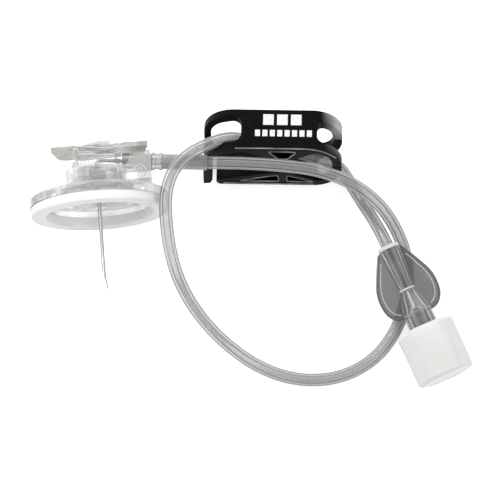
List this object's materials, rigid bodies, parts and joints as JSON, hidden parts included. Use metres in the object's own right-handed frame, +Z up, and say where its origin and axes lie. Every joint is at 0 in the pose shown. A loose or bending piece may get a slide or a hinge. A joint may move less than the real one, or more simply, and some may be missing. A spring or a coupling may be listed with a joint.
{
  "type": "winged port needle with extension tube",
  "caption": "Right-angle non-coring needle with foam-ringed disc, folding wings, looped extension tube, pinch clamp and capped luer end.",
  "frame": {"origin": "bottom centre of the needle group, where the disc's rim stands on the table", "axes": "+X right and -Y along the needle towards its point, +Z up from the table"},
  "size_m": [0.0927, 0.0629, 0.03],
  "materials": {
    "clear_plastic": "clear, glossy",
    "frosted_plastic": "clear, frosted on its faces",
    "soft_tube": "clear, soft and glossy",
    "foam": "matte closed-cell foam",
    "steel": "polished",
    "black_plastic": "satin black",
    "white_plastic": "satin white"
  },
  "bodies": {
    "tubing": {"hub_body": "clear_plastic", "cannula": "steel", "port_sleeve": "soft_tube", "hub_tube": "soft_tube", "pinch_tube": "soft_tube", "luer_tube": "soft_tube", "clamp_frame": "black_plastic", "luer_connector": "clear_plastic"},
    "base": {"base_disc": "clear_plastic", "foam_ring": "foam", "safety_housing": "clear_plastic", "tip_guard": "clear_plastic"},
    "left_wing": {"left_wing": "frosted_plastic"},
    "right_wing": {"right_wing": "frosted_plastic"},
    "clamp_arm": {"clamp_arm": "black_plastic"},
    "cap": {"luer_cap": "white_plastic"}
  },
  "joints": [
    {"name": "base_slide", "type": "slide", "parent": "tubing", "child": "base", "axis": [0, -1, 0], "range_m": [0, 0.021]},
    {"name": "left_wing_fold", "type": "hinge", "parent": "tubing", "child": "left_wing", "pos_m": [-0.0045, 0.0147, 0.015], "axis": [0, 0, -1], "range_deg": [0, 75]},
    {"name": "right_wing_fold", "type": "hinge", "parent": "tubing", "child": "right_wing", "pos_m": [0.0045, 0.0147, 0.015], "axis": [0, 0, 1], "range_deg": [0, 75]},
    {"name": "clamp_pinch", "type": "hinge", "parent": "tubing", "child": "clamp_arm", "pos_m": [0.05224, 0.01305, 0.0084], "axis": [0.0843, 0.9266, -0.3665], "range_deg": [0, 11.5], "deforming": ["pinch_tube"]},
    {"name": "cap_pull", "type": "slide", "parent": "tubing", "child": "cap", "axis": [0.338, -0.9388, -0.0663], "range_m": [0, 0.012]}
  ]
}
